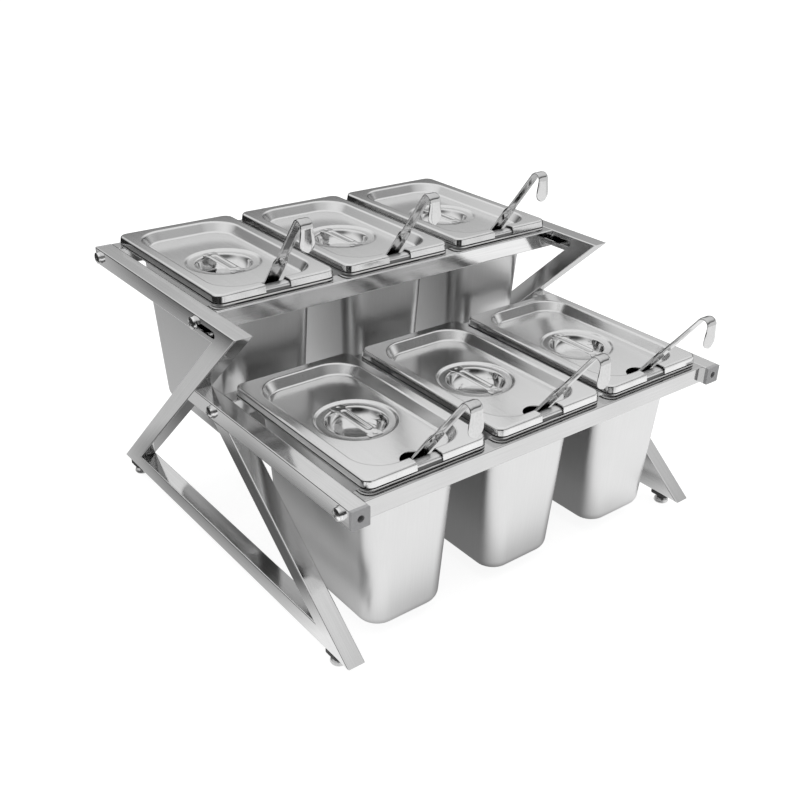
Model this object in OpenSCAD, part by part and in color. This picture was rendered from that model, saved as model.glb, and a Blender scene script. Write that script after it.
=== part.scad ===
// Two-tier counter rack of square steel tube. It carries two rows of lidded steel pans,
// each with a serving spoon that hangs out through a notch in the lid.
// X runs across the rack, Y from front to rear and Z up. The origin lies on the table,
// under the middle of the rack's whole footprint, hanging spoons included.

/* [Tube frame] */
// Side of the square steel tube
tube = 15; // [13:0.5:18]
// Wall of the tube
tube_wall = 1.5; // [1:0.1:2.5]
// Radius of the tube's long outer edges
tube_edge = 1; // [0.3:0.1:1.2]
// Height of the upper row's rails above the lower row's rails
step_up = 68; // [50:1:100]
// Distance from the lower row's rear rail back to the upper row's front rail
step_gap = 0; // [0:1:40]
// Distance from the upper row's front rail forward to the elbow of the upper side rails
elbow_ahead = 54; // [48:1:75]
// Distance from the lower row's rear rail forward to the top of the front legs
leg_ahead = 17.5; // [10:0.5:40]
// How far the lower side rails reach in front of the base rails
nose = 3; // [0:0.5:10]

/* [Pans] */
// Width of a pan over its rim
pan_w = 108; // [100:1:130]
// Length of a pan over its rim
pan_l = 176; // [165:1:200]
// Depth of a pan below the top of its rim
pan_depth = 148; // [120:1:180]
// Thickness of the pan's steel sheet
pan_sheet = 0.8; // [0.6:0.1:1]
// Width of the rim, from its outer edge to the pan's wall
rim_w = 11.2; // [11:0.1:14]
// Height of the rim's top above the rails
rim_h = 7; // [6.5:0.1:8]
// Height of the step round the rim that the lid stands on, above the rails
rim_step_h = 2; // [1.5:0.1:2.5]
// Outer corner radius of the rim and of the lid
rim_corner = 8; // [6:0.5:14]
// Radius of the rim's outer top edge
rim_bead = 2.5; // [1.5:0.1:3]
// Radius between the rim and the pan's wall
rim_round = 5; // [4.5:0.25:5.5]
// Corner radius of the pan's wall under the rim
wall_corner = 18; // [14:0.5:22]
// Lean of the pan's walls from upright, in degrees
wall_lean = 2.6; // [1:0.1:4]
// Radius between the pan's walls and its floor
floor_round = 10; // [5:0.5:12]
// Gap between two pans in a row
pan_gap = 10; // [5:0.5:20]
// Gap between the end pans and the side frames
row_gap = 3; // [2.5:0.5:8]
// How far the lower row stands to the right of the middle
lower_row_shift = 2; // [-2:0.25:2]
// Free room in front of and behind a lower pan's walls
lower_bay_gap = 1.7; // [1:0.1:6]
// Free room in front of and behind an upper pan's walls
upper_bay_gap = 1.6; // [0.4:0.1:4]
// Height of the lower pans above the table
table_gap = 9; // [5:0.5:20]

/* [Lids] */
// Height of the lid's top above the pan's rim
lid_over = 2; // [1.8:0.1:3]
// Thickness of the lid's steel sheet
lid_sheet = 0.8; // [0.6:0.1:1]
// Depth of the lid's recessed middle
recess_depth = 8.5; // [7:0.25:9]
// How far the recess walls run inwards
recess_slope = 3.6; // [3:0.1:3.7]
// Corner radius of the recess at the lid's top
recess_corner = 24; // [20:0.5:28]
// Diameter of the round step in the recess
dish_step_d = 61.5; // [58:0.5:66]
// Diameter of the finger dish inside the step
dish_d = 47; // [42:0.5:48]
// Drop of the round step
dish_step_drop = 1.5; // [1:0.1:2]
// Depth of the finger dish below the round step
dish_depth = 11; // [8:0.25:14]
// Width of the spoon notch
notch_w = 22.5; // [18:0.5:30]
// Length of the spoon notch
notch_l = 28; // [26:0.5:32]
// Width of the grip that spans the dish
grip_w = 10; // [7:0.5:11]
// Width of the tabs at the grip's ends
grip_tab_w = 13; // [12:0.5:16]
// How far the tabs lie on the step
grip_bite = 3.5; // [2.5:0.25:4]
// Thickness of the grip
grip_t = 0.8; // [0.6:0.1:1.2]

/* [Spoons] */
// Lean of the spoons from upright, in degrees
spoon_lean = 37; // [34:0.5:39]
// Thickness of the spoon's steel
spoon_t = 1.2; // [1:0.1:1.6]
// Width of the handle up to its shoulder
handle_w = 13.4; // [11:0.1:15]
// Width of the handle above its shoulder
neck_w = 10.5; // [8:0.1:10.9]
// Length of the handle above the pan's rim, up to the hook
handle_up = 75.5; // [60:0.5:90]
// Place of the shoulder above the pan's rim, along the handle
shoulder_up = 29; // [20:1:40]
// Radius of the hook at the handle's end
hook_r = 5; // [4:0.1:7]
// Length of the hook's straight end
hook_drop = 18; // [12:0.5:24]
// Width of the hook's end
hook_w = 13; // [11:0.1:16]
// Length of the spoon's bowl
bowl_l = 62; // [50:1:72]
// Width of the spoon's bowl
bowl_w = 38; // [30:1:42]
// Depth of the spoon's bowl
bowl_depth = 12; // [8:0.5:13]

/* [Screws and plugs] */
// Diameter of the rail screws
screw_d = 5; // [4:0.1:5.2]
// Diameter of the screw heads
head_d = 9.5; // [8.5:0.1:10.5]
// Height of the screw heads
head_h = 3; // [2.5:0.1:3.5]
// Diameter of the washers
washer_d = 10.7; // [10.6:0.1:12]
// Thickness of the washers
washer_t = 1; // [0.8:0.1:1.5]
// Thickness of the plates that close the cross rails
end_plate = 4; // [3:0.5:8]
// Height of the slots that the upper front rail slides in
slot_h = 6; // [5.6:0.1:7]
// Travel of the upper front rail
rail_travel = 28; // [10:0.5:29]
// Thickness of the plugs' flanges
plug_flange = 3; // [2:0.25:4]
// Length of the plugs inside the tubes
plug_depth = 14; // [14:0.5:20]
// Diameter of the threaded hole in each front plug
plug_hole_d = 5.5; // [4:0.1:7]
// Depth of the threaded hole in each front plug
plug_hole_depth = 9; // [6:0.5:9]

/* [Feet] */
// Distance of the front feet from the front ends of the base rails
front_foot_inset = 23; // [18:0.5:60]
// Distance of the rear feet from the rear ends of the base rails
rear_foot_inset = 19; // [12:0.5:60]
// Thickness of the rubber collars under the base rails
collar_t = 3; // [2:0.1:4]
// Length of the rubber collars
collar_l = 17.5; // [16:0.5:24]
// Diameter of the glide's stud
stud_d = 7; // [5:0.5:9]
// Length of the stud that shows between collar and glide
stud_show = 3; // [1:0.5:10]
// Height of the glides
glide_h = 6; // [5:0.5:8]
// Diameter of the glides
glide_d = 13.5; // [12.5:0.5:18]

/* [Hidden] */

// Sides of the rack, rows and places in a row
left = -1;
right = 1;
lower = 0;
upper = 1;
columns = 3;

// Clearances: lid on rim, lid's recess in the pan's mouth, pan on rail, sliding rail in its
// bay, screw or stud in its bore, plug in its tube, spoon on rim and spoon tip over the floor
lid_seat_gap = 0.3;
recess_fit = 1.4;
pan_seat_gap = 0.2;
slide_gap = 0.2;
bore_gap = 0.05;
plug_gap = 0.1;
spoon_gap = 0.4;
spoon_tip_gap = 1.4;

// A cut runs this far past the face that it opens
past = 1;
// Smoothness: round cuts, long tube edges, turned feet, sheet corners, spoon width and hook
round_fn = 32;
edge_fn = 24;
turned_fn = 48;
corner_steps = 4;
across_steps = 3;
hook_steps = 6;

// The frame's width and depth follow from the pans that it holds
inner_w = columns * pan_w + (columns - 1) * pan_gap + 2 * row_gap;
rack_w = inner_w + 2 * tube;
wall_l = pan_l - 2 * rim_w;
lower_bay = wall_l + 2 * lower_bay_gap;
upper_bay = wall_l + 2 * upper_bay_gap;
lower_rear_y = tube + lower_bay;
upper_front_y = lower_rear_y + tube + step_gap;
upper_rear_y = upper_front_y + tube + upper_bay;
rear_y = upper_rear_y + tube;

// Levels above the table
foot_h = glide_h + stud_show + collar_t;
lower_top = table_gap + pan_depth - rim_h;
upper_top = lower_top + step_up;

// Corners of the mitred side frame, each as [behind the front, above the table]
function along(p, angle, d) = [p[0] + d * cos(angle), p[1] + d * sin(angle)];
function beyond(a, b) = a + (a - b) * 0.2;
toe = [0, foot_h];
heel = [rear_y, foot_h];
elbow = [upper_front_y - elbow_ahead, upper_top];
strut_angle = 180 - atan2(elbow[1] - heel[1], heel[0] - elbow[0]) - asin(tube / norm(elbow - heel));
elbow_in = along(heel, strut_angle, (upper_top - tube - foot_h) / sin(strut_angle));
heel_in = along(elbow, strut_angle, -(upper_top - tube - foot_h) / sin(strut_angle));
lower_end = along(elbow, strut_angle, -step_up / sin(strut_angle));
lower_end_in = along(elbow, strut_angle, -(step_up + tube) / sin(strut_angle));
leg_top = [lower_rear_y - leg_ahead, lower_top - tube];
leg_angle = atan2(leg_top[1] - toe[1], leg_top[0]);
leg_foot = along(toe, 0, tube / sin(leg_angle));
leg_top_in = along(leg_foot, leg_angle, norm(leg_top - toe));
toe_in = along(leg_foot, leg_angle, tube / sin(leg_angle));

// Levels above the rails, where z = 0 for a pan and all that lies in it
lid_top = rim_h + lid_over;
recess_z = lid_top - recess_depth;
ledge_z = recess_z - dish_step_drop;
dish_z = ledge_z - dish_depth;
skirt_z = rim_step_h + lid_seat_gap;
floor_z = rim_h - pan_depth;
floor_in_z = floor_z + pan_sheet;

// The handle rests on the round inner edge of the pan's rim, and the spoon's tip near the floor
rim_in = rim_w + pan_sheet;
stand_off = rim_round + spoon_gap + spoon_t / 2;
spoon_y = -pan_l / 2 + rim_in - rim_round + stand_off * cos(spoon_lean);
spoon_z = rim_h - rim_round + stand_off * sin(spoon_lean);
spoon_down = (spoon_z - floor_in_z - spoon_tip_gap) / cos(spoon_lean);
handle_hollow = 2;
neck_hollow = 1.2;
hook_hollow = 0.5;

// Places of the rows and of their screws, from the front of the base rails
row_y = [tube + lower_bay / 2, upper_front_y + tube + upper_bay / 2];
row_top = [lower_top, upper_top];
row_shift = [lower_row_shift, 0];
screw_y = [tube / 2, lower_rear_y + tube / 2, upper_rear_y + tube / 2];
screw_top = [lower_top, lower_top, upper_top];
slide_y = upper_front_y + tube / 2;
spoon_front_y = row_y[lower] + spoon_y - handle_up * sin(spoon_lean)
    - hook_r * (1 + cos(spoon_lean)) - spoon_t / 2 - hook_hollow;
middle_y = (rear_y + spoon_front_y) / 2;

module placed() translate([0, -middle_y, 0]) children();

module on_side(side) placed() translate([side * (rack_w - tube) / 2, 0, 0]) children();

module both_sides() {
    children();
    mirror([1, 0, 0]) children();
}

module at_pan(row, column)
    placed() translate([(column - 1) * (pan_w + pan_gap) + row_shift[row], row_y[row],
        row_top[row]]) children();

// Flat shapes, centred

module rounded(w, l, r) {
    square([w - 2 * r, l], center = true);
    square([w, l - 2 * r], center = true);
    for (x = [-1, 1], y = [-1, 1])
        translate([x * (w / 2 - r), y * (l / 2 - r)]) circle(r = r, $fn = edge_fn);
}

module tube_section() difference() {
    rounded(tube, tube, tube_edge);
    square(tube - 2 * tube_wall, center = true);
}

// Frame tubes

// A tube with one long face on p, running at an angle in the side frame's plane
module side_bar(p, angle, length)
    translate([0, p[0], p[1]]) rotate([angle - 90, 0, 0])
        linear_extrude(length) translate([0, -tube / 2]) tube_section();

module side_slice(corners)
    translate([-tube, 0, 0]) rotate([90, 0, 90]) linear_extrude(2 * tube) polygon(corners);

// The tube that starts at p is mitred along the lines a0-b0 and a1-b1
module side_tube(p, angle, length, a0, b0, b1, a1) intersection() {
    side_bar(along(p, angle, -3 * tube), angle, length + 6 * tube);
    side_slice([beyond(a0, b0), beyond(b0, a0), beyond(b1, a1), beyond(a1, b1)]);
}

module side_hole(y, z, r)
    translate([-tube, y, z]) rotate([0, 90, 0]) cylinder(r = r, h = 2 * tube, $fn = round_fn);

module base_rail(side) color("silver") on_side(side)
    side_tube(toe, 0, rear_y, toe, toe_in, heel_in, heel);

module front_leg(side) color("silver") on_side(side)
    side_tube(leg_foot, leg_angle, norm(leg_top - toe), toe, toe_in, leg_top_in, leg_top);

module rear_strut(side) color("silver") on_side(side)
    side_tube(heel, strut_angle, norm(elbow - heel), heel_in, heel, elbow_in, elbow);

module lower_rail(side) color("silver") on_side(side) difference() {
    side_tube([0, lower_top - tube], 0, lower_end_in[0],
        [-nose, lower_top], [-nose, lower_top - tube], lower_end_in, lower_end);
    for (i = [0, 1]) side_hole(screw_y[i], lower_top - tube / 2, screw_d / 2 + bore_gap);
}

module upper_rail(side) color("dimgray") on_side(side) difference() {
    side_tube([elbow[0], upper_top - tube], 0, rear_y - elbow[0], elbow, elbow_in,
        [rear_y - plug_flange, upper_top - tube], [rear_y - plug_flange, upper_top]);
    side_hole(screw_y[2], upper_top - tube / 2, screw_d / 2 + bore_gap);
    for (d = [0, rail_travel]) side_hole(slide_y - d, upper_top - tube / 2, slot_h / 2);
    translate([-tube, slide_y - rail_travel, upper_top - tube / 2 - slot_h / 2])
        cube([2 * tube, rail_travel, slot_h]);
}

// A cross rail is closed by plates that take the screws
module cross_rail(y, top, gap) placed() translate([0, y + tube / 2, top - tube / 2])
    difference() {
        length = inner_w - 2 * gap;
        plug_w = tube - tube_wall;
        union() {
            translate([-length / 2, 0, 0]) rotate([90, 0, 90])
                linear_extrude(length) tube_section();
            both_sides() translate([-length / 2, -plug_w / 2, -plug_w / 2])
                cube([end_plate, plug_w, plug_w]);
        }
        both_sides() translate([-length / 2 - past, 0, 0]) rotate([0, 90, 0])
            cylinder(r = screw_d / 2 + bore_gap, h = end_plate + 2 * past, $fn = round_fn);
    }

module lower_front_rail() color("gainsboro") cross_rail(0, lower_top, 0);
module lower_rear_rail() color("silver") cross_rail(lower_rear_y, lower_top, 0);
module upper_front_rail() color("gainsboro") cross_rail(upper_front_y, upper_top, slide_gap);
module upper_rear_rail() color("silver") cross_rail(upper_rear_y, upper_top, 0);

// Screws and washers, drawn upright with z = 0 on the outer face of the side rail

module at_screws(y, top) placed() both_sides()
    translate([rack_w / 2, y, top - tube / 2]) rotate([0, 90, 0]) children();

module at_rail_screws() for (i = [0:2]) at_screws(screw_y[i], screw_top[i]) children();

module screw() {
    shank = tube + slide_gap + end_plate;
    cross_l = head_d / 2;
    cross_w = 1.1;
    cross_depth = 1.6;
    translate([0, 0, -shank]) cylinder(r = screw_d / 2, h = shank + washer_t, $fn = round_fn);
    translate([0, 0, washer_t]) difference() {
        intersection() {
            cylinder(r = head_d / 2, h = head_h, $fn = round_fn);
            translate([0, 0, head_h - head_d]) sphere(r = head_d, $fn = turned_fn);
        }
        for (size = [[cross_l, cross_w], [cross_w, cross_l]])
            translate([-size[0] / 2, -size[1] / 2, head_h - cross_depth])
                cube([size[0], size[1], cross_depth + past]);
    }
}

module washer() difference() {
    cylinder(r = washer_d / 2, h = washer_t, $fn = turned_fn);
    translate([0, 0, -past])
        cylinder(r = screw_d / 2 + bore_gap, h = washer_t + 2 * past, $fn = round_fn);
}

module rail_screws() color("whitesmoke") at_rail_screws() screw();
module rail_washers() color("lightgray") at_rail_screws() washer();
module slide_screws() color("whitesmoke") at_screws(slide_y, upper_top) screw();
module slide_washers() color("lightgray") at_screws(slide_y, upper_top) washer();

// Plugs, drawn with their flange in front of y = 0 and their body behind it. The cross
// rail's screw goes through the body and holds it.

module plug(screw_in) difference() {
    body_w = tube - 2 * tube_wall - 2 * plug_gap;
    union() {
        rotate([90, 0, 0]) linear_extrude(plug_flange) rounded(tube, tube, tube_edge);
        translate([-body_w / 2, -past, -body_w / 2]) cube([body_w, plug_depth + past, body_w]);
    }
    side_hole(screw_in, 0, screw_d / 2 + bore_gap);
}

module front_plugs() color("gray") both_sides() on_side(right)
    translate([0, -nose, lower_top - tube / 2]) difference() {
        plug(nose + screw_y[0]);
        translate([0, -plug_flange - past, 0]) rotate([-90, 0, 0])
            cylinder(r = plug_hole_d / 2, h = plug_hole_depth + past, $fn = round_fn);
    }

module rear_plugs() color("gray") both_sides() on_side(right)
    translate([0, rear_y - plug_flange, upper_top - tube / 2]) mirror([0, 1, 0])
        plug(rear_y - plug_flange - screw_y[2]);

// Feet

module at_feet() both_sides() on_side(right)
    for (y = [front_foot_inset, rear_y - rear_foot_inset]) translate([0, y, 0]) children();

module foot_collars() color("black") at_feet() translate([0, 0, foot_h - collar_t])
    difference() {
        linear_extrude(collar_t) rounded(tube, collar_l, tube / 4);
        translate([0, 0, -past])
            cylinder(r = stud_d / 2 + bore_gap, h = collar_t + 2 * past, $fn = round_fn);
    }

module foot_glides() color("silver") at_feet() rotate_extrude($fn = turned_fn)
    polygon([[0, 0], [glide_d / 2 - 2.4, 0], [glide_d / 2 - 0.7, 0.6], [glide_d / 2, 1.8],
        [glide_d / 2 - 0.6, glide_h - 2.2], [glide_d / 2 - 2.2, glide_h - 0.6],
        [stud_d / 2, glide_h], [stud_d / 2, foot_h], [0, foot_h]]);

// Pressed sheet is a stack of rings, each with the same number of points

function plan(w, l, r, z) = [for (c = [0:3], i = [0:corner_steps])
    let (a = 90 * (c + i / corner_steps),
        sx = (c == 0 || c == 3) ? 1 : -1,
        sy = (c < 2) ? 1 : -1)
    [sx * (w / 2 - r) + r * cos(a), sy * (l / 2 - r) + r * sin(a), z]];

function inset(d, r, z) = plan(pan_w - 2 * d, pan_l - 2 * d, r, z);

function disc(r, z) = [for (c = [0:3], i = [0:corner_steps])
    let (a = 90 * c + 45 + (i - corner_steps / 2) * 90 / (corner_steps + 1))
    [r * cos(a), r * sin(a), z]];

// Each ring joins the next one, and the first and the last ring are filled in
module ring_stack(rings) {
    n = len(rings[0]);
    m = len(rings);
    sides = [for (k = [0:m - 2], j = [0:n - 1])
        let (p = k * n + j, q = k * n + (j + 1) % n)
        each [[p, q, p + n], [q, q + n, p + n]]];
    first = [for (j = [n - 1:-1:0]) j];
    last = [for (j = [0:n - 1]) (m - 1) * n + j];
    polyhedron([for (ring = rings) each ring], concat(sides, [first, last]), convexity = 10);
}

// Pan: from the inner floor up over the rim, then down the outside

rim_step_w = lid_sheet + 0.6;
rim_under = rim_h - pan_sheet;

function wall_inset(z) = rim_w + (rim_h - z) * tan(wall_lean);

function floor_rings(sheet, z, angles) = [for (a = angles)
    let (turned = floor_round * (1 - sin(a)))
    inset(wall_inset(z + floor_round) + sheet + turned, wall_corner - sheet - 0.8 * turned,
        z + floor_round * (1 - cos(a)))];

pan_inside = concat(
    floor_rings(pan_sheet, floor_in_z, [0, 30, 60, 90]),
    [for (a = [0, 30, 60, 90])
        let (turned = rim_round * (1 - cos(a)))
        inset(rim_in - turned, wall_corner - pan_sheet + turned, rim_h - rim_round * (1 - sin(a)))],
    [for (a = [0, 45, 90])
        inset(rim_step_w + rim_bead * (1 - sin(a)), rim_corner - rim_step_w,
            rim_h - rim_bead * (1 - cos(a)))],
    [inset(rim_step_w, rim_corner - rim_step_w, rim_step_h),
     inset(0, rim_corner, rim_step_h),
     inset(0, rim_corner, pan_seat_gap)]);

pan_outside = concat(
    [inset(pan_sheet, rim_corner - pan_sheet, pan_seat_gap),
     inset(pan_sheet, rim_corner - pan_sheet, rim_step_h - pan_sheet),
     inset(rim_step_w + pan_sheet, rim_corner - rim_step_w - pan_sheet, rim_step_h - pan_sheet),
     inset(rim_step_w + pan_sheet, rim_corner - rim_step_w - pan_sheet, rim_h - rim_bead),
     inset(rim_step_w + rim_bead, rim_corner - rim_step_w - pan_sheet, rim_under),
     inset(rim_w - rim_round + pan_sheet, wall_corner + rim_round - pan_sheet, rim_under),
     inset(rim_w, wall_corner, rim_under - rim_round + pan_sheet)],
    floor_rings(0, floor_z, [90, 60, 30, 0]));

module pan(row, column) color("lightgray") at_pan(row, column)
    ring_stack(concat(pan_inside, pan_outside));

// Lid: from the bottom of its dish out to the skirt, then back along the underside

lid_edge = 1.5;
recess_foot = rim_in + recess_fit + lid_sheet;
recess_edge = recess_foot - recess_slope;
foot_corner = recess_corner - recess_slope;
dish_r = dish_d / 2;
step_r = dish_step_d / 2;

lid_upper_skin = [
    disc(0.3 * dish_r, dish_z),
    disc(0.62 * dish_r, dish_z + 0.08 * dish_depth),
    disc(0.86 * dish_r, dish_z + 0.38 * dish_depth),
    disc(dish_r - 0.3, ledge_z - 1),
    disc(dish_r + 0.9, ledge_z),
    disc(step_r - 0.3, ledge_z),
    disc(step_r + 0.9, recess_z),
    inset(recess_foot + 1.2, foot_corner - 1.2, recess_z),
    inset(recess_foot, foot_corner, recess_z + 0.9),
    inset(recess_edge, recess_corner, lid_top - 0.6),
    inset(recess_edge - 0.9, recess_corner + 0.9, lid_top),
    inset(lid_edge, rim_corner - lid_edge, lid_top),
    inset(0.3 * lid_edge, rim_corner - 0.3 * lid_edge, lid_top - 0.3 * lid_edge),
    inset(0, rim_corner, lid_top - lid_edge),
    inset(0, rim_corner, skirt_z)
];

lid_underside = [
    inset(lid_sheet, rim_corner - lid_sheet, skirt_z),
    inset(lid_sheet, rim_corner - lid_sheet, lid_top - lid_edge),
    inset(lid_edge, rim_corner - lid_edge, lid_top - lid_sheet),
    inset(recess_edge - lid_edge, recess_corner + lid_edge, lid_top - lid_sheet),
    inset(recess_edge - lid_sheet, recess_corner + lid_sheet, lid_top - 2 * lid_sheet),
    inset(recess_foot - lid_sheet - 0.2, foot_corner + lid_sheet, recess_z + 0.5),
    inset(recess_foot + 0.9, foot_corner - 0.9, recess_z - lid_sheet),
    disc(step_r + 1.6, recess_z - lid_sheet),
    disc(step_r + 0.4, ledge_z - lid_sheet),
    disc(dish_r + 1.4, ledge_z - lid_sheet),
    disc(dish_r + 0.5, ledge_z - 1.5),
    disc(0.86 * dish_r + 0.7, dish_z + 0.38 * dish_depth - 0.6 * lid_sheet),
    disc(0.62 * dish_r + 0.3, dish_z + 0.08 * dish_depth - lid_sheet),
    disc(0.3 * dish_r, dish_z - lid_sheet)
];

module lid(row, column) color("gainsboro") at_pan(row, column) difference() {
    cut_z = dish_z - past;
    cut_h = lid_top - cut_z + past;
    ring_stack(concat(lid_upper_skin, lid_underside));
    translate([-notch_w / 2, -pan_l / 2 - past, cut_z])
        cube([notch_w, notch_l - notch_w / 2 + past, cut_h]);
    translate([0, -pan_l / 2 + notch_l - notch_w / 2, cut_z])
        cylinder(r = notch_w / 2, h = cut_h, $fn = round_fn);
}

// Grip: a flat strap across the dish, with a shallow pressed groove

module grip(row, column) color("silver") at_pan(row, column) translate([0, 0, ledge_z])
    difference() {
        grip_l = dish_d + 2 * grip_bite;
        tab_l = grip_bite + 2;
        groove_w = grip_w - 5;
        groove_depth = grip_t / 3;
        linear_extrude(grip_t) {
            square([grip_w, grip_l - tab_l], center = true);
            for (y = [-1, 1]) translate([0, y * (grip_l - tab_l) / 2])
                rounded(grip_tab_w, tab_l, tab_l / 3);
        }
        translate([0, 0, grip_t - groove_depth]) linear_extrude(groove_depth + past)
            rounded(groove_w, grip_l - 2 * tab_l, groove_w / 2.1);
    }

// Spoon: sheet sections from the tip up the leaning handle and over the hook

// A section at p, across a path that heads at an angle, has its middle and edges offset
function spoon_ring(p, heading, w, middle, edge) =
    let (out = [cos(heading - 90), sin(heading - 90)])
    [for (face = [1, -1], i = [-across_steps:across_steps])
        let (u = face * i / across_steps,
            offset = middle + (edge - middle) * u * u + face * spoon_t / 2)
        [u * w / 2, p[0] + offset * out[0], p[1] + offset * out[1]]];

function on_handle(s) = along([spoon_y, spoon_z], 90 + spoon_lean, s);

hook_centre = along(on_handle(handle_up), 180 + spoon_lean, hook_r);

function handle_ring(s, w, hollow) =
    spoon_ring(on_handle(s), 90 + spoon_lean, w, 0, hollow);

function bowl_ring(v) =
    spoon_ring(on_handle(v * bowl_l - spoon_down), 90 + spoon_lean,
        v > 0.5 ? max(handle_w, bowl_w * sqrt(1 - pow(2 * v - 1, 2)))
            : bowl_w * sqrt(1 - pow(2 * v - 1, 2)),
        -(bowl_depth - handle_hollow / 2) * 4 * v * (1 - v), handle_hollow * v);

function hook_ring(heading) =
    spoon_ring(along(hook_centre, heading - 90, hook_r), heading, neck_w, 0, hook_hollow);

function drop_ring(d, w, hollow) =
    spoon_ring([hook_centre[0] - hook_r, hook_centre[1] - d], 270, w, 0, hollow);

spoon_rings = concat(
    [for (v = [0.005, 0.03, 0.09, 0.18, 0.3, 0.45, 0.6, 0.75, 0.87, 0.94, 1]) bowl_ring(v)],
    [handle_ring(shoulder_up - 2, handle_w, handle_hollow),
     handle_ring(shoulder_up + 2, neck_w, neck_hollow),
     handle_ring(handle_up, neck_w, hook_hollow)],
    [for (i = [1:hook_steps]) hook_ring(90 + spoon_lean + i * (180 - spoon_lean) / hook_steps)],
    [drop_ring(hook_drop / 3, neck_w + (hook_w - neck_w) / 3, hook_hollow),
     drop_ring(hook_drop - hook_w / 3, hook_w, hook_hollow),
     drop_ring(hook_drop - hook_w / 10, 0.8 * hook_w, hook_hollow),
     drop_ring(hook_drop, hook_w / 2, hook_hollow)]);

module spoon(row, column) color("whitesmoke") at_pan(row, column) ring_stack(spoon_rings);

base_rail(left);  // left_base_rail
front_leg(left);  // left_front_leg
rear_strut(left);  // left_rear_strut
lower_rail(left);  // left_lower_rail
upper_rail(left);  // left_upper_rail
base_rail(right);  // right_base_rail
front_leg(right);  // right_front_leg
rear_strut(right);  // right_rear_strut
lower_rail(right);  // right_lower_rail
upper_rail(right);  // right_upper_rail
lower_front_rail();
lower_rear_rail();
upper_front_rail();
upper_rear_rail();
rail_screws();
rail_washers();
slide_screws();
slide_washers();
front_plugs();
rear_plugs();
foot_collars();
foot_glides();
pan(lower, 0);  // pan_lower_left
pan(lower, 1);  // pan_lower_middle
pan(lower, 2);  // pan_lower_right
pan(upper, 0);  // pan_upper_left
pan(upper, 1);  // pan_upper_middle
pan(upper, 2);  // pan_upper_right
lid(lower, 0);  // lid_lower_left
lid(lower, 1);  // lid_lower_middle
lid(lower, 2);  // lid_lower_right
lid(upper, 0);  // lid_upper_left
lid(upper, 1);  // lid_upper_middle
lid(upper, 2);  // lid_upper_right
grip(lower, 0);  // grip_lower_left
grip(lower, 1);  // grip_lower_middle
grip(lower, 2);  // grip_lower_right
grip(upper, 0);  // grip_upper_left
grip(upper, 1);  // grip_upper_middle
grip(upper, 2);  // grip_upper_right
spoon(lower, 0);  // spoon_lower_left
spoon(lower, 1);  // spoon_lower_middle
spoon(lower, 2);  // spoon_lower_right
spoon(upper, 0);  // spoon_upper_left
spoon(upper, 1);  // spoon_upper_middle
spoon(upper, 2);  // spoon_upper_right
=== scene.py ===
from math import cos, pi, radians, sin, sqrt, tan

import bmesh
import bpy
from mathutils import Matrix, Vector


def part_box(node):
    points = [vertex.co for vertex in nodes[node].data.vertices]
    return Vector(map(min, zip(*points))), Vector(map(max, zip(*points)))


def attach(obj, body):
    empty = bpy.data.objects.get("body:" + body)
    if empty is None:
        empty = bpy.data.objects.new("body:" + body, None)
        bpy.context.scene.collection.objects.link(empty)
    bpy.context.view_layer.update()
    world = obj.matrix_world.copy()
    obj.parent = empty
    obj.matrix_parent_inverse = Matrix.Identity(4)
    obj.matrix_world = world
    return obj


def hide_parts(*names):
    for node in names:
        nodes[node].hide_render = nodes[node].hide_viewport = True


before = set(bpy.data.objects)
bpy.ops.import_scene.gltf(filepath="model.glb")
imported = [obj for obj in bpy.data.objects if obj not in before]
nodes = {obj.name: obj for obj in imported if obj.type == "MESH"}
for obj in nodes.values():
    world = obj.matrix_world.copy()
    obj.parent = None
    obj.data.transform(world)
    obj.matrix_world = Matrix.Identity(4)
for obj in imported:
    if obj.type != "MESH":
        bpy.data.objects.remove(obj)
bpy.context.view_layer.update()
scene = bpy.context.scene


# The camera stands where the photographer stood: in front of the rack's left corner and a
# little above it, with the frame slightly rolled.

yaw, pitch, roll = radians(39.722), radians(30.517), radians(1.919)
stand_x, before_rack, stand_z = -0.48459, 0.43256, 0.49955
picture, lens_reach, axis_x, axis_y = 800, 981.31, 425.87, 454.37  # in pixels
ahead = Vector((sin(yaw) * cos(pitch), cos(yaw) * cos(pitch), -sin(pitch)))
level_right = ahead.cross(Vector((0, 0, 1))).normalized()
level_up = level_right.cross(ahead)
right = level_right * cos(roll) + level_up * sin(roll)
up = level_up * cos(roll) - level_right * sin(roll)
camera_data = bpy.data.cameras.new("camera")
camera_data.sensor_width = 36
camera_data.lens = 36 * lens_reach / picture
camera_data.shift_x = (picture / 2 - axis_x) / picture
camera_data.shift_y = (axis_y - picture / 2) / picture
camera_data.clip_start = 0.01
camera = bpy.data.objects.new("camera", camera_data)
scene.collection.objects.link(camera)
rack_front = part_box("left_base_rail")[0][1]
camera.matrix_world = Matrix((
    (right.x, up.x, -ahead.x, stand_x),
    (right.y, up.y, -ahead.y, rack_front - before_rack),
    (right.z, up.z, -ahead.z, stand_z),
    (0, 0, 0, 1)))
scene.camera = camera


# The studio: a pale floor, a white sheet that lies under the rack and shows only in its
# polished steel, a white ceiling, a window at the front right and a dim room all round.

def new_object(name, mesh):
    made = bpy.data.objects.new(name, mesh)
    scene.collection.objects.link(made)
    return made


def flat_sheet(name, x0, y0, x1, y1, z):
    mesh = bpy.data.meshes.new(name)
    mesh.from_pydata([(x0, y0, z), (x1, y0, z), (x1, y1, z), (x0, y1, z)], [], [(0, 1, 2, 3)])
    made = new_object(name, mesh)
    return made


def start_material(name):
    material = bpy.data.materials.new(name)
    material.use_nodes = True
    tree = material.node_tree
    return material, tree, tree.nodes["Principled BSDF"]


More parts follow.
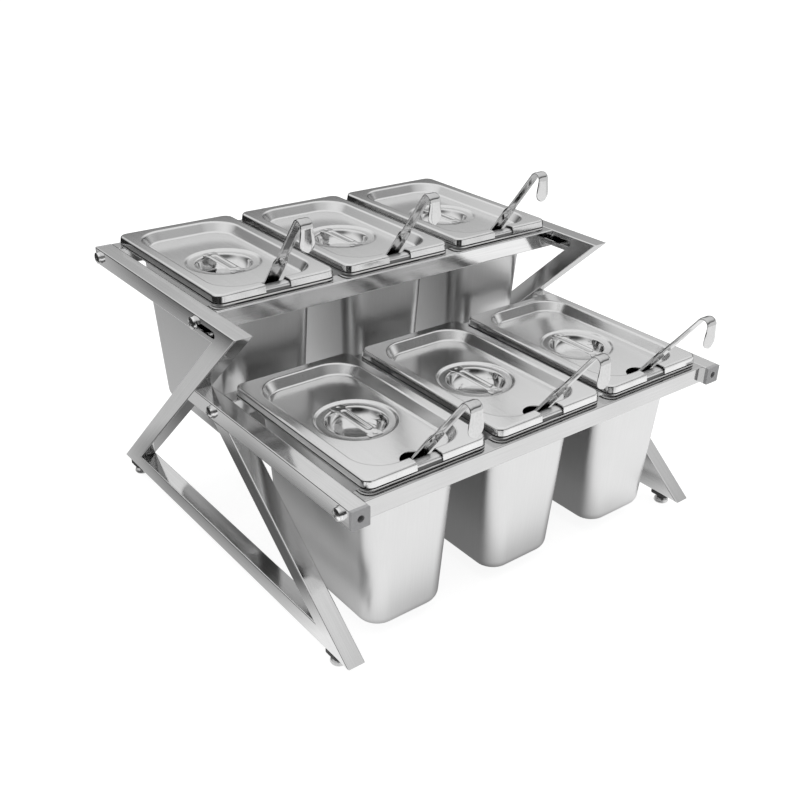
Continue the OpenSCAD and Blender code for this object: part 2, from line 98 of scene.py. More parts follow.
floor_white, _, floor_shader = start_material("floor_white")
floor_shader.inputs["Base Color"].default_value = (0.3, 0.3, 0.3, 1)
floor_shader.inputs["Roughness"].default_value = 0.9
floor_shader.inputs["Specular IOR Level"].default_value = 0
floor_shader.inputs["Emission Color"].default_value = (1, 1, 1, 1)
floor_shader.inputs["Emission Strength"].default_value = 0.88
floor = flat_sheet("floor", -6, -6, 6, 6, -0.0005)
floor.data.materials.append(floor_white)
floor.visible_glossy = False


def link(tree, source, target):
    tree.links.new(source, target)


def ramp(tree, source, stops):
    node = tree.nodes.new("ShaderNodeValToRGB")
    while len(node.color_ramp.elements) < len(stops):
        node.color_ramp.elements.new(0.5)
    for element, (place, grey) in zip(node.color_ramp.elements, stops):
        element.position = place
        element.color = (grey, grey, grey, 1)
    link(tree, source, node.inputs["Fac"])
    return node.outputs["Color"]


def math_node(tree, operation, first, second=None, third=None):
    node = tree.nodes.new("ShaderNodeMath")
    node.operation = operation
    for socket, value in zip(node.inputs, (first, second, third)):
        if isinstance(value, (int, float)):
            socket.default_value = value
        elif value is not None:
            link(tree, value, socket)
    return node.outputs[0]


# The sheet's glow is painted light: brightest in front and dimmer behind as painted shade, with
# painted soft shadows beside the rack's left side, under the rack and far out at the rear left.

sheet_white, sheet_tree, sheet_shader = start_material("sheet_white")
sheet_shader.inputs["Base Color"].default_value = (0.02, 0.02, 0.02, 1)
sheet_shader.inputs["Roughness"].default_value = 1
sheet_shader.inputs["Specular IOR Level"].default_value = 0
spot = sheet_tree.nodes.new("ShaderNodeSeparateXYZ")
link(sheet_tree, sheet_tree.nodes.new("ShaderNodeTexCoord").outputs["Object"], spot.inputs[0])
# painted shade: the sheet's glow falls off towards the back
front_glow = ramp(sheet_tree, math_node(sheet_tree, "MULTIPLY_ADD", spot.outputs["Y"], 1, 0.5),
                  [(0.3, 1), (0.42, 0.88), (0.7, 0.55), (1, 0.5)])


def shadow(tree, x, y, half_w, half_l, inside, darkest):
    # 1 in the open, falling to the darkest value inside an oblong with round corners
    away = 0
    for side, middle, half in (("X", x, half_w), ("Y", y, half_l)):
        off = math_node(tree, "MULTIPLY_ADD", spot.outputs[side], 1 / half, -middle / half)
        fourth = math_node(tree, "POWER", math_node(tree, "ABSOLUTE", off), 4)
        away = math_node(tree, "ADD", fourth, away)
    return ramp(tree, math_node(tree, "POWER", away, 0.25), [(inside, darkest), (1, 1)])


# painted shadows on the sheet: middle x and y, half width, half length, full-dark share, darkest
left_shadow = (-0.254, 0.07, 0.066, 0.2, 0.6, 0.14)
under_shadow = (0.0, 0.03, 0.21, 0.23, 0.7, 0.2)
rear_left_shadow = (-0.77, 0.36, 0.385, 0.6, 0.9, 0.04)
sheet_power = 1.12
glow = front_glow
for sizes in (left_shadow, under_shadow, rear_left_shadow):
    glow = math_node(sheet_tree, "MULTIPLY", glow, shadow(sheet_tree, *sizes))
link(sheet_tree, math_node(sheet_tree, "MULTIPLY", glow, sheet_power),
     sheet_shader.inputs["Emission Strength"])
sheet_shader.inputs["Emission Color"].default_value = (1, 1, 1, 1)
sheet = flat_sheet("white_sheet", -1.1, -1.1, 0.9, 0.9, -0.001)
sheet.data.materials.append(sheet_white)
sheet.visible_camera = False
sheet.visible_diffuse = False
sheet.visible_shadow = False


def toward(tree, direction, place):
    node = tree.nodes.new("ShaderNodeVectorMath")
    node.operation = "DOT_PRODUCT"
    node.inputs[1].default_value = Vector(direction).normalized()
    link(tree, place, node.inputs[0])
    return node.outputs["Value"]


world = bpy.data.worlds.new("studio")
scene.world = world
world.use_nodes = True
room = world.node_tree
room.nodes.clear()
look = room.nodes.new("ShaderNodeTexCoord").outputs["Generated"]
parts = room.nodes.new("ShaderNodeSeparateXYZ")
link(room, look, parts.inputs[0])
height = math_node(room, "MULTIPLY_ADD", parts.outputs["Z"], 0.5, 0.5)
# the ceiling starts higher in front than behind
front = ramp(room, math_node(room, "MULTIPLY", parts.outputs["Y"], -1), [(0, 0), (0.6, 1)])
height = math_node(room, "MULTIPLY_ADD", front, -0.16, height)
ceiling = ramp(room, height, [(0, 0.05), (0.42, 0.02), (0.54, 0.04), (0.6, 0.2), (0.68, 0.66),
                              (0.74, 0.92), (0.8, 1.0), (1, 1.0)])
window_way, room_power = (0.55, -0.8, 0.1), 0.88
window = ramp(room, toward(room, window_way, look), [(0.55, 0), (0.72, 1)])
low = ramp(room, parts.outputs["Z"], [(0.3, 1), (0.42, 0.12)])
window = math_node(room, "MULTIPLY", window, low)
bright = math_node(room, "MULTIPLY", math_node(room, "MAXIMUM", ceiling, window), room_power)
paths = room.nodes.new("ShaderNodeLightPath")
shown = room.nodes.new("ShaderNodeMix")
shown.data_type = "FLOAT"
link(room, paths.outputs["Is Camera Ray"], shown.inputs["Factor"])
link(room, bright, shown.inputs["A"])
shown.inputs["B"].default_value = 1
back = room.nodes.new("ShaderNodeBackground")
back.inputs["Color"].default_value = (1, 1, 1, 1)
link(room, shown.outputs["Result"], back.inputs["Strength"])
out = room.nodes.new("ShaderNodeOutputWorld")
link(room, back.outputs[0], out.inputs["Surface"])


def soft_light(name, place, aim, size, power):
    data = bpy.data.lights.new(name, "AREA")
    data.shape = "RECTANGLE"
    data.size, data.size_y = size
    data.energy = power
    light = bpy.data.objects.new(name, data)
    scene.collection.objects.link(light)
    light.location = place
    light.rotation_euler = (Vector(aim) - Vector(place)).to_track_quat("-Z", "Y").to_euler()
    return light


top_light = soft_light("top_light", (0.15, 0.1, 1.6), (0, 0, 0), (1.6, 1.6), 16)
top_light.visible_glossy = False
scene.view_settings.view_transform = "Standard"


# The stainless steel of the whole rack. Rolled and rubbed steel has fine lines along its length,
# cloudy patches where it was polished and handled, and a slow wave in the sheet.

rubbed = bpy.data.node_groups.new("rubbed_steel", "ShaderNodeTree")
for name, kind in (("Along", "NodeSocketVector"), ("Lines", "NodeSocketFloat"),
                   ("Patches", "NodeSocketFloat"), ("Light", "NodeSocketColor"),
                   ("Dark", "NodeSocketColor"), ("Least Rough", "NodeSocketFloat"),
                   ("Most Rough", "NodeSocketFloat"), ("Line Depth", "NodeSocketFloat"),
                   ("Wave Size", "NodeSocketFloat"), ("Wave Depth", "NodeSocketFloat")):
    rubbed.interface.new_socket(name, in_out="INPUT", socket_type=kind)
for name, kind in (("Colour", "NodeSocketColor"), ("Roughness", "NodeSocketFloat"),
                   ("Height", "NodeSocketFloat")):
    rubbed.interface.new_socket(name, in_out="OUTPUT", socket_type=kind)
given = rubbed.nodes.new("NodeGroupInput").outputs
made = rubbed.nodes.new("NodeGroupOutput").inputs
place = rubbed.nodes.new("ShaderNodeTexCoord").outputs["Object"]


def vector_node(tree, operation, first, second=None, scale=None):
    node = tree.nodes.new("ShaderNodeVectorMath")
    node.operation = operation
    link(tree, first, node.inputs[0])
    if second is not None:
        link(tree, second, node.inputs[1])
    if scale is not None:
        link(tree, scale, node.inputs["Scale"])
    return node.outputs["Value" if operation == "DOT_PRODUCT" else "Vector"]


def noise(tree, place, scale, detail):
    node = tree.nodes.new("ShaderNodeTexNoise")
    node.inputs["Detail"].default_value = detail
    link(tree, place, node.inputs["Vector"])
    if isinstance(scale, (int, float)):
        node.inputs["Scale"].default_value = scale
    else:
        link(tree, scale, node.inputs["Scale"])
    return node.outputs["Fac"]


stretch = 0.985  # 1 would draw the lines out without end
run = vector_node(rubbed, "DOT_PRODUCT", place, given["Along"])
run = math_node(rubbed, "MULTIPLY", run, stretch)
run = vector_node(rubbed, "SCALE", given["Along"], scale=run)
drawn_out = vector_node(rubbed, "SUBTRACT", place, run)
lines = noise(rubbed, drawn_out, given["Lines"], 3)
patches = noise(rubbed, place, given["Patches"], 4)
wave = noise(rubbed, place, given["Wave Size"], 1)
mixed = math_node(rubbed, "ADD", math_node(rubbed, "MULTIPLY", lines, 0.5),
                  math_node(rubbed, "MULTIPLY", patches, 0.5))
mixed = math_node(rubbed, "MULTIPLY_ADD", mixed, 2.4, -0.7)
held = rubbed.nodes.new("ShaderNodeClamp")
link(rubbed, mixed, held.inputs["Value"])
tint = rubbed.nodes.new("ShaderNodeMix")
tint.data_type = "RGBA"
link(rubbed, held.outputs[0], tint.inputs["Factor"])
link(rubbed, given["Dark"], tint.inputs["A"])
link(rubbed, given["Light"], tint.inputs["B"])
link(rubbed, tint.outputs["Result"], made["Colour"])
spread = math_node(rubbed, "SUBTRACT", given["Most Rough"], given["Least Rough"])
link(rubbed, math_node(rubbed, "MULTIPLY_ADD", held.outputs[0], spread, given["Least Rough"]),
     made["Roughness"])
link(rubbed, math_node(rubbed, "ADD", math_node(rubbed, "MULTIPLY", lines, given["Line Depth"]),
                       math_node(rubbed, "MULTIPLY", wave, given["Wave Depth"])),
     made["Height"])


def steel(name, along, light=0.8, dark=0.68, rough=(0.07, 0.14), lines=900, patches=18,
          line_depth=0.012, wave_size=9, wave_depth=0.3, crown=0):
    # a crown is a sheet's slight swell along its length
    material, tree, shader = start_material(name)
    group = tree.nodes.new("ShaderNodeGroup")
    group.node_tree = rubbed
    for socket, value in (("Along", Vector(along).normalized()), ("Lines", lines),
                          ("Patches", patches), ("Least Rough", rough[0]),
                          ("Most Rough", rough[1]), ("Line Depth", line_depth),
                          ("Wave Size", wave_size), ("Wave Depth", wave_depth),
                          ("Light", (light, light, light, 1)), ("Dark", (dark, dark, dark, 1))):
        group.inputs[socket].default_value = value
    bump = tree.nodes.new("ShaderNodeBump")
    bump.inputs["Strength"].default_value = 0.5
    bump.inputs["Distance"].default_value = 0.001
    shader.inputs["Metallic"].default_value = 1
    link(tree, group.outputs["Colour"], shader.inputs["Base Color"])
    link(tree, group.outputs["Roughness"], shader.inputs["Roughness"])
    height = group.outputs["Height"]
    if crown:
        at = tree.nodes.new("ShaderNodeSeparateXYZ")
        link(tree, tree.nodes.new("ShaderNodeTexCoord").outputs["Object"], at.inputs[0])
        swell = math_node(tree, "MULTIPLY", at.outputs["Y"], at.outputs["Y"])
        height = math_node(tree, "MULTIPLY_ADD", swell, -crown, height)
    link(tree, height, bump.inputs["Height"])
    link(tree, bump.outputs["Normal"], shader.inputs["Normal"])
    return material


def dress(node, material):
    for place in nodes[node].material_slots:
        place.material = material


# The two side frames: square stainless tube, mitred, welded and polished. The level rails, the
# legs and the struts were each rubbed along their own length.

level_steel = steel("level_tube_steel", (0, 1, 0))
leg_steel = steel("leg_tube_steel", (0, 0.784, 0.621))
strut_steel = steel("strut_tube_steel", (0, -0.725, 0.689))
for side in ("left", "right"):
    dress(side + "_base_rail", level_steel)
    dress(side + "_lower_rail", level_steel)
    dress(side + "_upper_rail", level_steel)
    dress(side + "_front_leg", leg_steel)
    dress(side + "_rear_strut", strut_steel)


# The cross rails: the same tube, cut square and closed at the ends by plates that take the
# screws. The upper front one slides in the slots of the side rails.

cross_steel = steel("cross_tube_steel", (1, 0, 0))
# painted shade: the lower front rail gets a darker copy of the same tube steel
front_painted_shade_steel = steel("front_tube_painted_shade_steel", (1, 0, 0), light=0.65, dark=0.56)
slide_steel = steel("slide_tube_steel", (1, 0, 0), wave_size=26, wave_depth=0.9)
dress("lower_front_rail", front_painted_shade_steel)
for name in ("lower_rear_rail", "upper_rear_rail"):
    dress(name, cross_steel)
dress("upper_front_rail", slide_steel)


# The screws and washers: turned and stamped stainless steel. Their faces are bright and slightly
# dull, so they show pale against the polished tube.

screw_steel = steel("screw_face_steel", (0, 0, 1), light=0.94, dark=0.82, rough=(0.14, 0.24),
                    lines=500, patches=160)
for name in ("rail_screws", "rail_washers", "slide_screws", "slide_washers"):
    dress(name, screw_steel)


# The plugs in the open tube ends: grey moulded nylon, matt and faintly grained. They close the
# front ends of the lower side rails and the rear ends of the upper ones.

def grained(name, dark, light, rough, grain_size, grain_depth):
    material, tree, shader = start_material(name)
    place = tree.nodes.new("ShaderNodeTexCoord").outputs["Object"]
    speckle = noise(tree, place, grain_size, 3)
    shade = tree.nodes.new("ShaderNodeMix")
    shade.data_type = "RGBA"
    shade.inputs["A"].default_value = dark
    shade.inputs["B"].default_value = light
    link(tree, speckle, shade.inputs["Factor"])
    link(tree, shade.outputs["Result"], shader.inputs["Base Color"])
    shader.inputs["Roughness"].default_value = rough
    bump = tree.nodes.new("ShaderNodeBump")
    bump.inputs["Strength"].default_value = grain_depth
    bump.inputs["Distance"].default_value = 0.0003
    link(tree, speckle, bump.inputs["Height"])
    link(tree, bump.outputs["Normal"], shader.inputs["Normal"])
    return material


plug_nylon = grained("plug_nylon", (0.26, 0.26, 0.265, 1), (0.34, 0.34, 0.345, 1), rough=0.55,
                     grain_size=700, grain_depth=0.3)
for name in ("front_plugs", "rear_plugs"):
    dress(name, plug_nylon)


# The feet: a black rubber collar between the base rail and a zinc-plated glide on its stud. The
# rubber is matt and grained, and the zinc is greyer and duller than the steel.

collar_rubber = grained("collar_rubber", (0.012, 0.012, 0.012, 1), (0.03, 0.03, 0.03, 1),
                        rough=0.6, grain_size=900, grain_depth=0.4)
dress("foot_collars", collar_rubber)
dress("foot_glides", steel("glide_zinc", (0, 0, 1), light=0.66, dark=0.5, rough=(0.2, 0.34),
                           lines=300, patches=220))


# The pans: deep drawn from one sheet of stainless steel, given one satin finish inside and out,
# with a rolled rim that has a step round it for the lid. They hang by the rim between the rails.

MM = 0.001
pan_w, pan_l, pan_depth, sheet_t = 108, 176, 148, 0.8
rim_w, rim_h, rim_step_h, rim_corner, rim_bead, rim_round = 11.2, 7, 2, 8, 2.5, 5
wall_corner, wall_lean, floor_round, seat_gap = 18, 2.6, 10, 0.7
rim_step_w = sheet_t + 0.6
bays = [row + "_" + column for row in ("lower", "upper") for column in ("left", "middle", "right")]


def over_rails(bay):
    # the middle of a pan, level with the top of the rails that it hangs on
    low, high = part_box("pan_" + bay)
    return Vector(((low[0] + high[0]) / 2, (low[1] + high[1]) / 2, high[2] - rim_h * MM))


def plan(w, l, r, z, steps):
    points = []
    for corner, (sx, sy) in enumerate(((1, 1), (-1, 1), (-1, -1), (1, -1))):
        for i in range(steps + 1):
            a = pi / 2 * (corner + i / steps)
            points.append((sx * (w / 2 - r) + r * cos(a), sy * (l / 2 - r) + r * sin(a), z))
    return points


def inset(d, r, z, steps=14):
    return plan(pan_w - 2 * d, pan_l - 2 * d, max(r, 0.3), z, steps)


def arc(first, last, count):
    return [radians(first + (last - first) * i / count) for i in range(count + 1)]


def ring_stack(name, rings, material, sharp=32):
    # one skin over rings of points, in mm, with both ends closed
    n = len(rings[0])
    points = [Vector(p) * MM for ring in rings for p in ring]
    last = (len(rings) - 1) * n
    faces = []
    for a in range(0, last, n):
        for j in range(n):
            faces.append((a + j, a + (j + 1) % n, a + n + (j + 1) % n, a + n + j))
    faces.append(tuple(reversed(range(n))))
    faces.append(tuple(last + j for j in range(n)))
    mesh = bpy.data.meshes.new(name)
    mesh.from_pydata(points, [], faces)
    finish_mesh(mesh, sharp)
    mesh.materials.append(material)
    return mesh


def finish_mesh(mesh, sharp):
    work = bmesh.new()
    work.from_mesh(mesh)
    bmesh.ops.remove_doubles(work, verts=work.verts, dist=1e-6)
    bmesh.ops.recalc_face_normals(work, faces=work.faces)
    work.to_mesh(mesh)
    work.free()
    mesh.shade_smooth()
    mesh.set_sharp_from_angle(angle=radians(sharp))


def wall_inset(z):
    return rim_w + (rim_h - z) * tan(radians(wall_lean))


def floor_rings(sheet, z, angles):
    rings = []
    for a in angles:
        turned = floor_round * (1 - sin(a))
        rings.append(inset(wall_inset(z + floor_round) + sheet + turned,
                           wall_corner - sheet - 0.8 * turned, z + floor_round * (1 - cos(a))))
    return rings


floor_z = rim_h - pan_depth
rim_in = rim_w + sheet_t
rim_under = rim_h - sheet_t
flat_in = wall_inset(floor_z) + floor_round
middle_in, middle_corner = flat_in + 12, 6
wall_levels = [-100, -60, -20]
pan_inside = [inset(middle_in, middle_corner, floor_z + sheet_t)]
pan_inside += floor_rings(sheet_t, floor_z + sheet_t, arc(0, 90, 8))
pan_inside += [inset(wall_inset(z) + sheet_t, wall_corner - sheet_t, z)
               for z in wall_levels + [rim_h - rim_round - 1.5]]
for a in arc(0, 90, 8):
    turned = rim_round * (1 - cos(a))
    pan_inside.append(inset(rim_in - turned, wall_corner - sheet_t + turned,
                            rim_h - rim_round * (1 - sin(a))))
pan_inside += [inset(rim_in - rim_round - 0.6, wall_corner + 2, rim_h)]
for a in arc(0, 90, 6):
    pan_inside.append(inset(rim_step_w + rim_bead * (1 - sin(a)), rim_corner - rim_step_w,
                            rim_h - rim_bead * (1 - cos(a))))
step_bend, step_edge = 0.4, 0.35
for a in arc(0, 90, 3):
    pan_inside.append(inset(rim_step_w - step_bend * (1 - cos(a)), rim_corner - rim_step_w,
                            rim_step_h + step_bend - step_bend * sin(a)))
pan_inside += [inset(step_edge, rim_corner, rim_step_h), inset(0.1, rim_corner, rim_step_h - 0.1),
               inset(0, rim_corner, rim_step_h - step_edge), inset(0, rim_corner, seat_gap)]
pan_outside = [
    inset(sheet_t, rim_corner - sheet_t, seat_gap),
    inset(sheet_t, rim_corner - sheet_t, rim_step_h - sheet_t),
    inset(rim_step_w + sheet_t, rim_corner - rim_step_w - sheet_t, rim_step_h - sheet_t),
    inset(rim_step_w + sheet_t, rim_corner - rim_step_w - sheet_t, rim_h - rim_bead),
    inset(rim_step_w + rim_bead, rim_corner - rim_step_w - sheet_t, rim_under)]
for a in arc(90, 0, 6):
    turned = (rim_round - sheet_t) * (1 - cos(a))
    pan_outside.append(inset(rim_w - turned, wall_corner + turned,
                             rim_under - (rim_round - sheet_t) * (1 - sin(a))))
pan_outside += [inset(wall_inset(z), wall_corner, z) for z in reversed(wall_levels)]
pan_outside += floor_rings(0, floor_z, arc(90, 0, 8))
pan_outside += [inset(middle_in, middle_corner, floor_z)]

pan_satin = steel("pan_satin", (0, 0, 1), light=0.73, dark=0.68, rough=(0.3, 0.36), lines=900,
                  line_depth=0.003, patches=14, wave_size=12, wave_depth=0.3)
pan_mesh = ring_stack("pan_shell", pan_inside + pan_outside, pan_satin)
# painted shade: the riser faces in the gap under the lid's skirt get a near-black copy of the steel
groove_painted_shade = steel("groove_painted_shade", (0, 0, 1), light=0.24, dark=0.14, rough=(0.4, 0.5), patches=60)
pan_mesh.materials.append(groove_painted_shade)
groove_start, groove_w, groove_h = 0.3, 3, 2.6
for face in pan_mesh.polygons:
    x, y, z = face.center / MM
    deep_in = min(pan_w / 2 - abs(x), pan_l / 2 - abs(y))
    over_step = rim_step_h - 0.05 < z < rim_step_h + groove_h
    if groove_start < deep_in < groove_w and over_step and face.normal.z > -0.5:
        face.material_index = 1
for bay in bays:
    pan = new_object("pan_shell_" + bay, pan_mesh)
    pan.location = over_rails(bay)
    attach(pan, "pan_" + bay)
    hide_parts("pan_" + bay)


# The lids: pressed from stainless sheet, with a turned-down skirt, a recessed middle and a round
# step and finger dish in it. The flats are satin, and the skirt and its edge are polished. The
# notch for the spoon is punched through the front edge.

lid_over, recess_depth, recess_slope, recess_corner = 2, 8.5, 3.6, 24
dish_step_d, dish_d, dish_step_drop, dish_depth = 61.5, 47, 1.5, 11
notch_w, notch_l, lid_edge = 22.5, 28, 2
lid_top = rim_h + lid_over
recess_z = lid_top - recess_depth
ledge_z = recess_z - dish_step_drop
dish_z = ledge_z - dish_depth
skirt_z = rim_step_h + 1
flare = 0.5
recess_foot = rim_in + 1.4 + sheet_t
recess_edge = recess_foot - recess_slope
foot_corner = recess_corner - recess_slope
LID_STEPS = 23


def lid_ring(d, r, z):
    return inset(d, r, z, LID_STEPS)


def disc(r, z):
    points = []
    for corner in range(4):
        for i in range(LID_STEPS + 1):
            a = radians(90 * corner + 45 + (i - LID_STEPS / 2) * 90 / (LID_STEPS + 1))
            points.append((r * cos(a), r * sin(a), z))
    return points


def dish_height(r):
    # round bottom, steep wall
    u = min(r / (dish_d / 2), 1)
    return dish_z + (ledge_z - dish_z) * (0.16 * u ** 2 + 0.84 * u ** 7)


def eased(first, last, rise, count):
    # an S-shaped pressed step from radius first to last, rising by rise
    return [(first + (last - first) * i / count,
             rise * (3 * (i / count) ** 2 - 2 * (i / count) ** 3)) for i in range(count + 1)]


dish_r, step_r = dish_d / 2, dish_step_d / 2
upper_skin = [disc(dish_r * u, dish_height(dish_r * u))
              for u in (0.04, 0.15, 0.3, 0.45, 0.58, 0.68, 0.76, 0.83, 0.88, 0.92, 0.95, 0.975)]
upper_skin += [disc(dish_r - 0.1, ledge_z - 0.55), disc(dish_r + 0.2, ledge_z - 0.2),
               disc(dish_r + 0.7, ledge_z), disc(dish_r + 1.4, ledge_z + 0.02)]
upper_skin += [disc(r, ledge_z + h)
               for r, h in eased(step_r - 1.4, step_r + 1.4, dish_step_drop, 6)]
upper_skin += [disc(step_r + 2.4, recess_z)]
upper_skin += [lid_ring(recess_foot + 3, foot_corner - 3, recess_z)]
foot_bend, edge_bend, bend_turn = 2.6, 2.2, 66
for a in arc(0, bend_turn, 7):
    turned = foot_bend * sin(a)
    upper_skin.append(lid_ring(recess_foot + 2.4 - turned, foot_corner - 2.4 + turned,
                               recess_z + foot_bend * (1 - cos(a))))
for a in arc(bend_turn, 0, 7):
    turned = edge_bend * sin(a)
    upper_skin.append(lid_ring(recess_edge - 2 + turned, recess_corner + 2 - turned,
                               lid_top - edge_bend * (1 - cos(a))))
upper_skin += [lid_ring(recess_edge - 2.8, recess_corner + 2, lid_top),
               lid_ring(lid_edge + flare + 0.6, rim_corner - lid_edge, lid_top)]
for a in arc(0, 86, 6):
    turned = lid_edge * (1 - sin(a))
    upper_skin.append(lid_ring(flare + turned, rim_corner - turned,
                               lid_top - lid_edge * (1 - cos(a))))
upper_skin += [lid_ring(0, rim_corner, skirt_z + 0.2), lid_ring(0.15, rim_corner, skirt_z)]
underside = [lid_ring(sheet_t, rim_corner - sheet_t, skirt_z),
             lid_ring(flare + sheet_t, rim_corner - sheet_t, lid_top - lid_edge),
             lid_ring(flare + lid_edge, rim_corner - lid_edge, lid_top - sheet_t),
             lid_ring(recess_edge - lid_edge, recess_corner + lid_edge, lid_top - sheet_t),
             lid_ring(recess_edge - sheet_t, recess_corner + sheet_t, lid_top - 2 * sheet_t),
             lid_ring(recess_foot - sheet_t - 0.2, foot_corner + sheet_t, recess_z + 0.5),
             lid_ring(recess_foot + 0.9, foot_corner - 0.9, recess_z - sheet_t)]
underside += [disc(r, ledge_z - sheet_t + h)
              for r, h in reversed(eased(step_r - 0.8, step_r + 1.8, dish_step_drop, 4))]
underside += [disc(dish_r + 1.6, ledge_z - sheet_t), disc(dish_r + 0.9, ledge_z - 1.3)]
underside += [disc(dish_r * u + 0.6 * u, dish_height(dish_r * u) - 0.6)
              for u in (0.95, 0.88, 0.76, 0.58, 0.3)]

lid_satin = steel("lid_satin", (0, 1, 0), light=0.82, dark=0.76, rough=(0.16, 0.24), lines=800,
                  line_depth=0.006, patches=16, wave_size=10, wave_depth=0.2, crown=600)
lid_polish = steel("lid_polish", (0, 1, 0), light=0.82, dark=0.66, rough=(0.1, 0.18), lines=900,
                   line_depth=0.005, patches=60, wave_size=60, wave_depth=0.35)
dish_polish = steel("dish_polish", (0, 1, 0), light=0.82, dark=0.72, rough=(0.06, 0.12), lines=900,
                    line_depth=0.006, patches=40, wave_size=30, wave_depth=0.3)
lid_mesh = ring_stack("lid_blank", upper_skin + underside, lid_satin)


def punch(mesh, cutter_points, low, high, sharp):
    # cuts an upright outline, in mm, out of a mesh
    n = len(cutter_points)
    cutter_mesh = bpy.data.meshes.new("punch")
    cutter_mesh.from_pydata([Vector((x, y, z)) * MM for z in (low, high) for x, y in cutter_points],
                            [], [(j, (j + 1) % n, n + (j + 1) % n, n + j) for j in range(n)]
                            + [tuple(reversed(range(n))), tuple(range(n, 2 * n))])
    cutter = new_object("punch", cutter_mesh)
    blank = new_object("blank", mesh)
    cut = blank.modifiers.new("cut", "BOOLEAN")
    cut.operation = "DIFFERENCE"
    cut.solver = "EXACT"
    cut.object = cutter
    done = bpy.data.meshes.new_from_object(
        blank.evaluated_get(bpy.context.evaluated_depsgraph_get()))
    for leftover in (cutter, blank):
        bpy.data.objects.remove(leftover)
    finish_mesh(done, sharp)
    return done


notch = [(notch_w / 2, -pan_l / 2 - 1)]
notch += [(notch_w / 2 * cos(a), -pan_l / 2 + notch_l - notch_w / 2 + notch_w / 2 * sin(a))
          for a in arc(0, 180, 24)]
notch += [(-notch_w / 2, -pan_l / 2 - 1)]
lid_mesh = punch(lid_mesh, notch, dish_z - 2, lid_top + 2, 32)
lid_mesh.materials.clear()
lid_mesh.materials.append(lid_satin)
lid_mesh.materials.append(lid_polish)
lid_mesh.materials.append(dish_polish)
polished_edge, polished_ledge = 2.2, 0.8
for face in lid_mesh.polygons:
    x, y, _ = face.center / MM
    if max(abs(x) - pan_w / 2, abs(y) - pan_l / 2) > -polished_edge:
        face.material_index = 1
    elif x ** 2 + y ** 2 < (dish_r + polished_ledge) ** 2:
        face.material_index = 2
for bay in bays:
    lid = new_object("lid_sheet_" + bay, lid_mesh)
    lid.location = over_rails(bay)
    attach(lid, "lid_" + bay)
    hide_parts("lid_" + bay)


# The grips: a stamped strap of bright steel across each finger dish, spot-welded to the round
# step by a wider tab at each end, with a long groove pressed into it to stiffen it.

grip_w, grip_tab_w, grip_tab_l, grip_corner, grip_l, grip_t = 10, 13, 6.2, 2.2, 54, 0.8
grip_crown, press_r, press_depth, press_from_end = 0.5, 2.2, 0.75, 9
weld_r, weld_depth, weld_from_end = 1.2, 0.25, 3


def smooth(u):
    u = min(max(u, 0), 1)
    return u * u * (3 - 2 * u)


def edge_round(sheet, inward, reach, least):
    # half a sheet's thickness, which shrinks to the least share of it at a rounded edge
    u = min(1, inward / reach)
    return sheet / 2 * (least + (1 - least) * sqrt(max(0, 1 - (1 - u) ** 2)))


def strap_height(x, y):
    from_end = grip_l / 2 - abs(y)
    crown = grip_crown * smooth((from_end - 5) / 5) * (1 - (x / (grip_w / 2)) ** 2)
    past_groove = max(press_from_end + press_r - from_end, 0)
    reach = sqrt((abs(x) / press_r) ** 2 + past_groove ** 2 / press_r ** 2)
    groove = press_depth * smooth((1.35 - reach) / 0.7)
    from_weld = sqrt(x ** 2 + (from_end - weld_from_end) ** 2)
    weld = weld_depth * smooth(1.6 - from_weld / weld_r)
    return crown - groove - weld


def strap_half_width(y):
    from_end = grip_l / 2 - abs(y)
    half = grip_w / 2 + (grip_tab_w - grip_w) / 2 * smooth((grip_tab_l - from_end) / 1.4)
    if from_end < grip_corner:
        half -= grip_corner - sqrt(max(grip_corner ** 2 - (grip_corner - from_end) ** 2, 0))
    return half


strap_rings = []
STRAP_STEPS, STRAP_RINGS = 20, 90
for k in range(STRAP_RINGS + 1):
    y = (-1 + 2 * k / STRAP_RINGS) * (grip_l / 2 - 0.02)
    half = strap_half_width(y)
    ring = []
    for face in (1, -1):
        for i in range(STRAP_STEPS + 1):
            u = face * (-1 + 2 * i / STRAP_STEPS)
            thick = edge_round(grip_t, (1 - abs(u)) * half, reach=0.35, least=0.45)
            x = u * half
            ring.append((x, y, grip_t / 2 + strap_height(x, y) + face * thick))
    strap_rings.append(ring)
grip_bright = steel("grip_bright", (0, 1, 0), light=0.8, dark=0.7, rough=(0.08, 0.16), lines=700,
                    patches=60, wave_size=30, wave_depth=0.2)
grip_mesh = ring_stack("grip_strap", strap_rings, grip_bright, 40)
for bay in bays:
    grip = new_object("grip_strap_" + bay, grip_mesh)
    grip.location = over_rails(bay) + Vector((0, 0, ledge_z + 0.03)) * MM
    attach(grip, "lid_" + bay)
    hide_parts("grip_" + bay)


# The spoons: stamped from one strip of bright stainless steel. The edges of the long handle are
# turned down and lie on the pan's rim, and above a shoulder it narrows to a hook with a broad end.

spoon_lean, spoon_t, handle_w, neck_w = 37, 1.2, 13.4, 10.5
handle_up, shoulder_up, hook_r, hook_drop, hook_w = 75.5, 29, 5, 18, 13
bowl_l, bowl_w, bowl_depth = 62, 38, 12
handle_hollow, neck_hollow, hook_hollow, fold_share = 2, 1.2, 0.35, 0.42
stand_off = rim_round + 0.4 + spoon_t / 2
spoon_y = -pan_l / 2 + rim_in - rim_round + stand_off * cos(radians(spoon_lean))
spoon_z = rim_h - rim_round + stand_off * sin(radians(spoon_lean))
spoon_down = (spoon_z - (floor_z + sheet_t) - 1.4) / cos(radians(spoon_lean))
SPOON_STEPS = 26


def blend(a, b, u):
    return a + (b - a) * smooth(u)


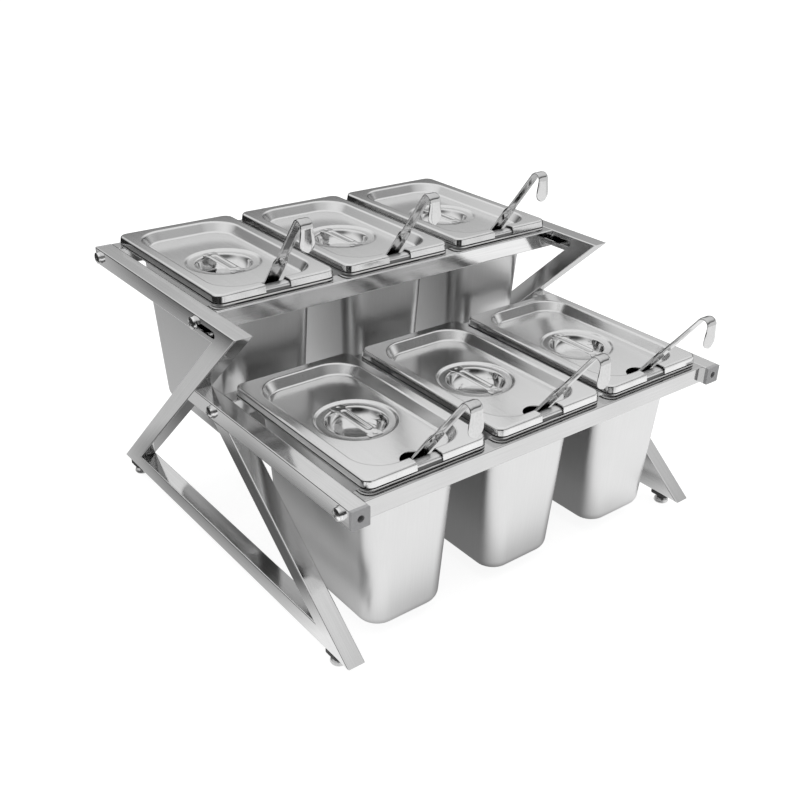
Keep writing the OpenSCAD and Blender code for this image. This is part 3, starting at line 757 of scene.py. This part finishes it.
def spoon_ring(centre, heading, w, hollow, bowl=0.0):
    # the edges lie on the path, with the middle pressed up to a flat web or down to a bowl
    y0, z0 = centre
    a = radians(heading - 90)
    ring = []
    for face in (1, -1):
        for i in range(SPOON_STEPS + 1):
            t = i / SPOON_STEPS
            u = face * sin(pi * (t - 0.5))
            thick = edge_round(spoon_t, (1 - abs(u)) * w / 2, reach=0.5, least=0.4)
            pressed = hollow * smooth((1 - abs(u)) / fold_share)
            offset = pressed - bowl * (1 - u * u) + face * thick
            ring.append((u * w / 2, y0 + offset * cos(a), z0 + offset * sin(a)))
    return ring


def on_handle(s):
    a = radians(90 + spoon_lean)
    return spoon_y + s * cos(a), spoon_z + s * sin(a)


spoon_rings = []
for i in range(31):
    v = 0.5 - 0.5 * cos(pi * (0.02 + 0.98 * i / 30))
    round_w = bowl_w * sqrt(max(0, 1 - (2 * v - 1) ** 2))
    w = round_w if v < 0.5 else min(bowl_w, (round_w ** 6 + handle_w ** 6) ** (1 / 6))
    spoon_rings.append(spoon_ring(on_handle(v * bowl_l - spoon_down), 90 + spoon_lean, w,
                                  handle_hollow * v, bowl_depth * 4 * v * (1 - v)))
start = bowl_l - spoon_down
for i in range(1, 91):
    s = start + (handle_up - start) * i / 90
    turn = (s - shoulder_up + 2) / 4
    rest = max(0, (s - shoulder_up - 2) / (handle_up - shoulder_up - 2))
    hollow = blend(handle_hollow, neck_hollow, turn) + (hook_hollow - neck_hollow) * rest
    spoon_rings.append(spoon_ring(on_handle(s), 90 + spoon_lean, blend(handle_w, neck_w, turn),
                                  hollow))
a = radians(180 + spoon_lean)
end = on_handle(handle_up)
hook_centre = (end[0] + hook_r * cos(a), end[1] + hook_r * sin(a))
for i in range(1, 19):
    heading = 90 + spoon_lean + i * (180 - spoon_lean) / 18
    a = radians(heading - 90)
    on_hook = (hook_centre[0] + hook_r * cos(a), hook_centre[1] + hook_r * sin(a))
    spoon_rings.append(spoon_ring(on_hook, heading, neck_w, hook_hollow))
for i in range(1, 25):
    d = hook_drop * i / 24
    w = blend(neck_w, hook_w, d / (hook_drop - hook_w / 2))
    tip = hook_drop - d
    if tip < hook_w / 2:
        w = min(w, 2 * sqrt(max(0.4, (hook_w / 2) ** 2 - (hook_w / 2 - tip) ** 2)))
    spoon_rings.append(spoon_ring((hook_centre[0] - hook_r, hook_centre[1] - d), 270, w,
                                  hook_hollow))
spoon_bright = steel("spoon_bright", (0, -0.602, 0.799), light=0.7, dark=0.56, rough=(0.04, 0.09),
                     lines=900, patches=50, wave_size=40, wave_depth=0.25)
spoon_mesh = ring_stack("spoon_strip", spoon_rings, spoon_bright, 50)
for bay in bays:
    spoon = new_object("spoon_strip_" + bay, spoon_mesh)
    spoon.location = over_rails(bay)
    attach(spoon, "spoon_" + bay)
    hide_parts("spoon_" + bay)
